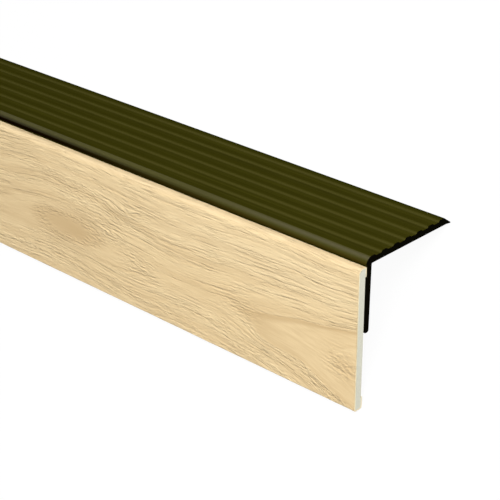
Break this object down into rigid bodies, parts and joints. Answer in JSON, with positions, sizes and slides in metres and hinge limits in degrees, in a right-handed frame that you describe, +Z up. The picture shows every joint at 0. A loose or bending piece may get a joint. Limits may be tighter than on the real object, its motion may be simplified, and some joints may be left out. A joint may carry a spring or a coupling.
{
  "type": "stair nosing",
  "caption": "Stair nosing stock: a ribbed L-profile with a rounded nose and a thin bevelled back edge, whose leg carries a wood-decor riser strip.",
  "frame": {"origin": "middle of the stock's length and of its footprint, on the floor that it lies on like a ridge, on the tread's back edge and the foot of the riser strip", "axes": "+X along the stock, +Y from the foot of the riser strip to the back edge of the tread, +Z up"},
  "size_m": [0.9, 0.0802, 0.0406],
  "materials": {
    "profile_plastic": "satin",
    "core_board": "matte",
    "oak_decor": "matte"
  },
  "bodies": {
    "root": {"nosing_profile": "profile_plastic", "riser_core": "core_board", "decor_wrap": "oak_decor"}
  },
  "joints": []
}
